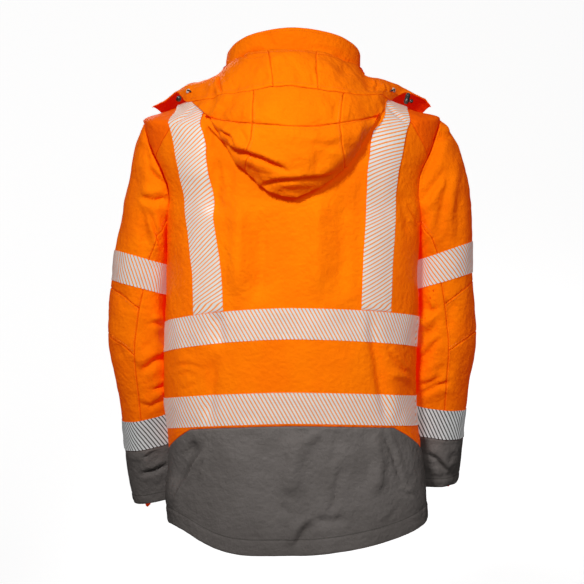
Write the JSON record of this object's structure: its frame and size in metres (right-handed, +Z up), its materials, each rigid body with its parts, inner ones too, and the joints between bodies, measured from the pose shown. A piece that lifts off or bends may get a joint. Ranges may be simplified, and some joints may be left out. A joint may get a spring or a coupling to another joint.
{
  "type": "hooded work jacket",
  "caption": "Hooded safety work jacket, filled out as worn: stand collar, hood thrown back, front zip, dark hem and cuffs, and reflective tapes with diagonal bars.",
  "frame": {"origin": "between the shoulders at the base of the neck, where the wearer's shoulders carry the jacket", "axes": "+Z up, -Y out of the jacket's front, +X towards the wearer's left"},
  "size_m": [0.623, 0.3643, 0.8583],
  "materials": {
    "orange_shell": "fluorescent woven polyester, soft sheen",
    "deep_orange_panel": "heavier woven polyester, a deeper orange",
    "grey_shell": "dark grey woven polyester, matt",
    "reflective_tape": "silver segmented retroreflective tape in diagonal bars",
    "zip_cloth": "black zip tape and moulded teeth",
    "zip_metal": "dark painted zip slider and pull tab",
    "cord_trim": "black moulded eyelets and cord lock"
  },
  "bodies": {
    "jacket": {"back_lower": "grey_shell", "back_upper": "orange_shell", "brace_l": "reflective_tape", "brace_r": "reflective_tape", "collar": "orange_shell", "cord_knob_r": "cord_trim", "cord_lock_l": "cord_trim", "cord_lock_r": "cord_trim", "cuff_tab_l": "grey_shell", "cuff_tab_r": "grey_shell", "cuff_tag_l": "deep_orange_panel", "cuff_tag_r": "deep_orange_panel", "eyelet_l": "cord_trim", "eyelet_r": "cord_trim", "front_lower_l": "grey_shell", "front_lower_r": "grey_shell", "front_upper_l": "orange_shell", "front_upper_r": "orange_shell", "hood_band_c": "orange_shell", "hood_band_l": "orange_shell", "hood_band_r": "orange_shell", "hood_brim": "orange_shell", "hood_crown_c": "orange_shell", "hood_crown_l": "orange_shell", "hood_crown_r": "orange_shell", "hood_nape": "orange_shell", "sleeve_cuff_l": "grey_shell", "sleeve_cuff_r": "grey_shell", "sleeve_elbow_l": "orange_shell", "sleeve_elbow_r": "orange_shell", "sleeve_fore_l": "orange_shell", "sleeve_fore_r": "orange_shell", "sleeve_top_l": "orange_shell", "sleeve_top_r": "orange_shell", "sleeve_under_l": "orange_shell", "sleeve_under_r": "orange_shell", "tape_arm_lower_l": "reflective_tape", "tape_arm_lower_r": "reflective_tape", "tape_arm_upper_l": "reflective_tape", "tape_arm_upper_r": "reflective_tape", "tape_chest_back": "reflective_tape", "tape_chest_front_l": "reflective_tape", "tape_chest_front_r": "reflective_tape", "tape_waist_back": "reflective_tape", "tape_waist_front_l": "reflective_tape", "tape_waist_front_r": "reflective_tape", "yoke_l": "deep_orange_panel", "yoke_r": "deep_orange_panel", "zip_chain": "zip_cloth", "zip_slider": "zip_metal", "zip_tape": "zip_cloth"},
    "pull_tab": {"zip_pull": "zip_metal"}
  },
  "joints": [
    {"name": "pull_tab_hinge", "type": "hinge", "parent": "jacket", "child": "pull_tab", "pos_m": [0, -0.10164, -0.0023], "axis": [-1, 0, 0], "range_deg": [0, 150]}
  ]
}
